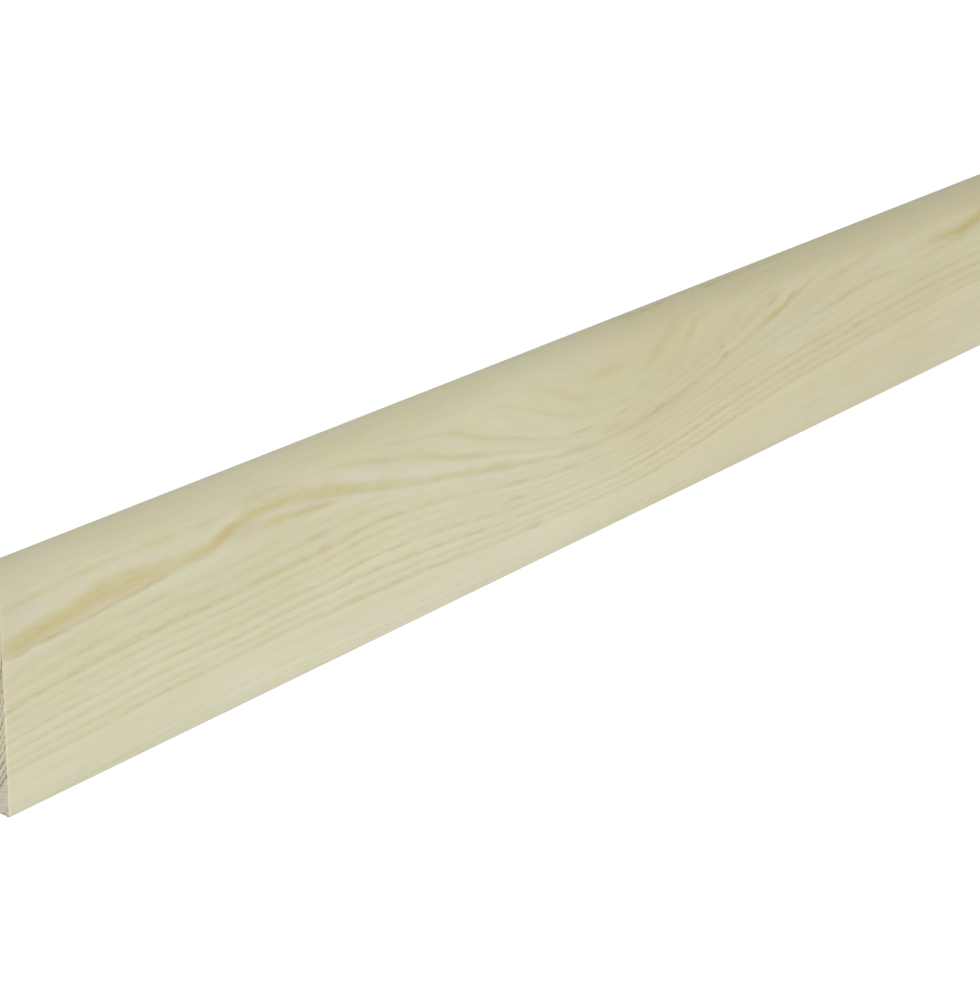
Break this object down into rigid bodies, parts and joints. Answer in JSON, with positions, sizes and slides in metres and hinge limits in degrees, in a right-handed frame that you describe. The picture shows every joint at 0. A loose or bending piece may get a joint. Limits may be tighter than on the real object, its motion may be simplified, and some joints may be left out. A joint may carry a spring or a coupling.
{
  "type": "skirting board length",
  "caption": "Length of softwood skirting board with a flat show face that runs into a rounded top edge, and a flat back that fixes to a wall.",
  "frame": {"origin": "centre of the flat back face, which the board lies on", "axes": "+X along the length, +Y up the height of the fitted board towards its rounded edge, +Z out of the show face"},
  "size_m": [2.4, 0.069, 0.012],
  "materials": {
    "pine": "planed and bare, fine sawn ends"
  },
  "bodies": {
    "root": {"skirting_board": "pine"}
  },
  "joints": []
}
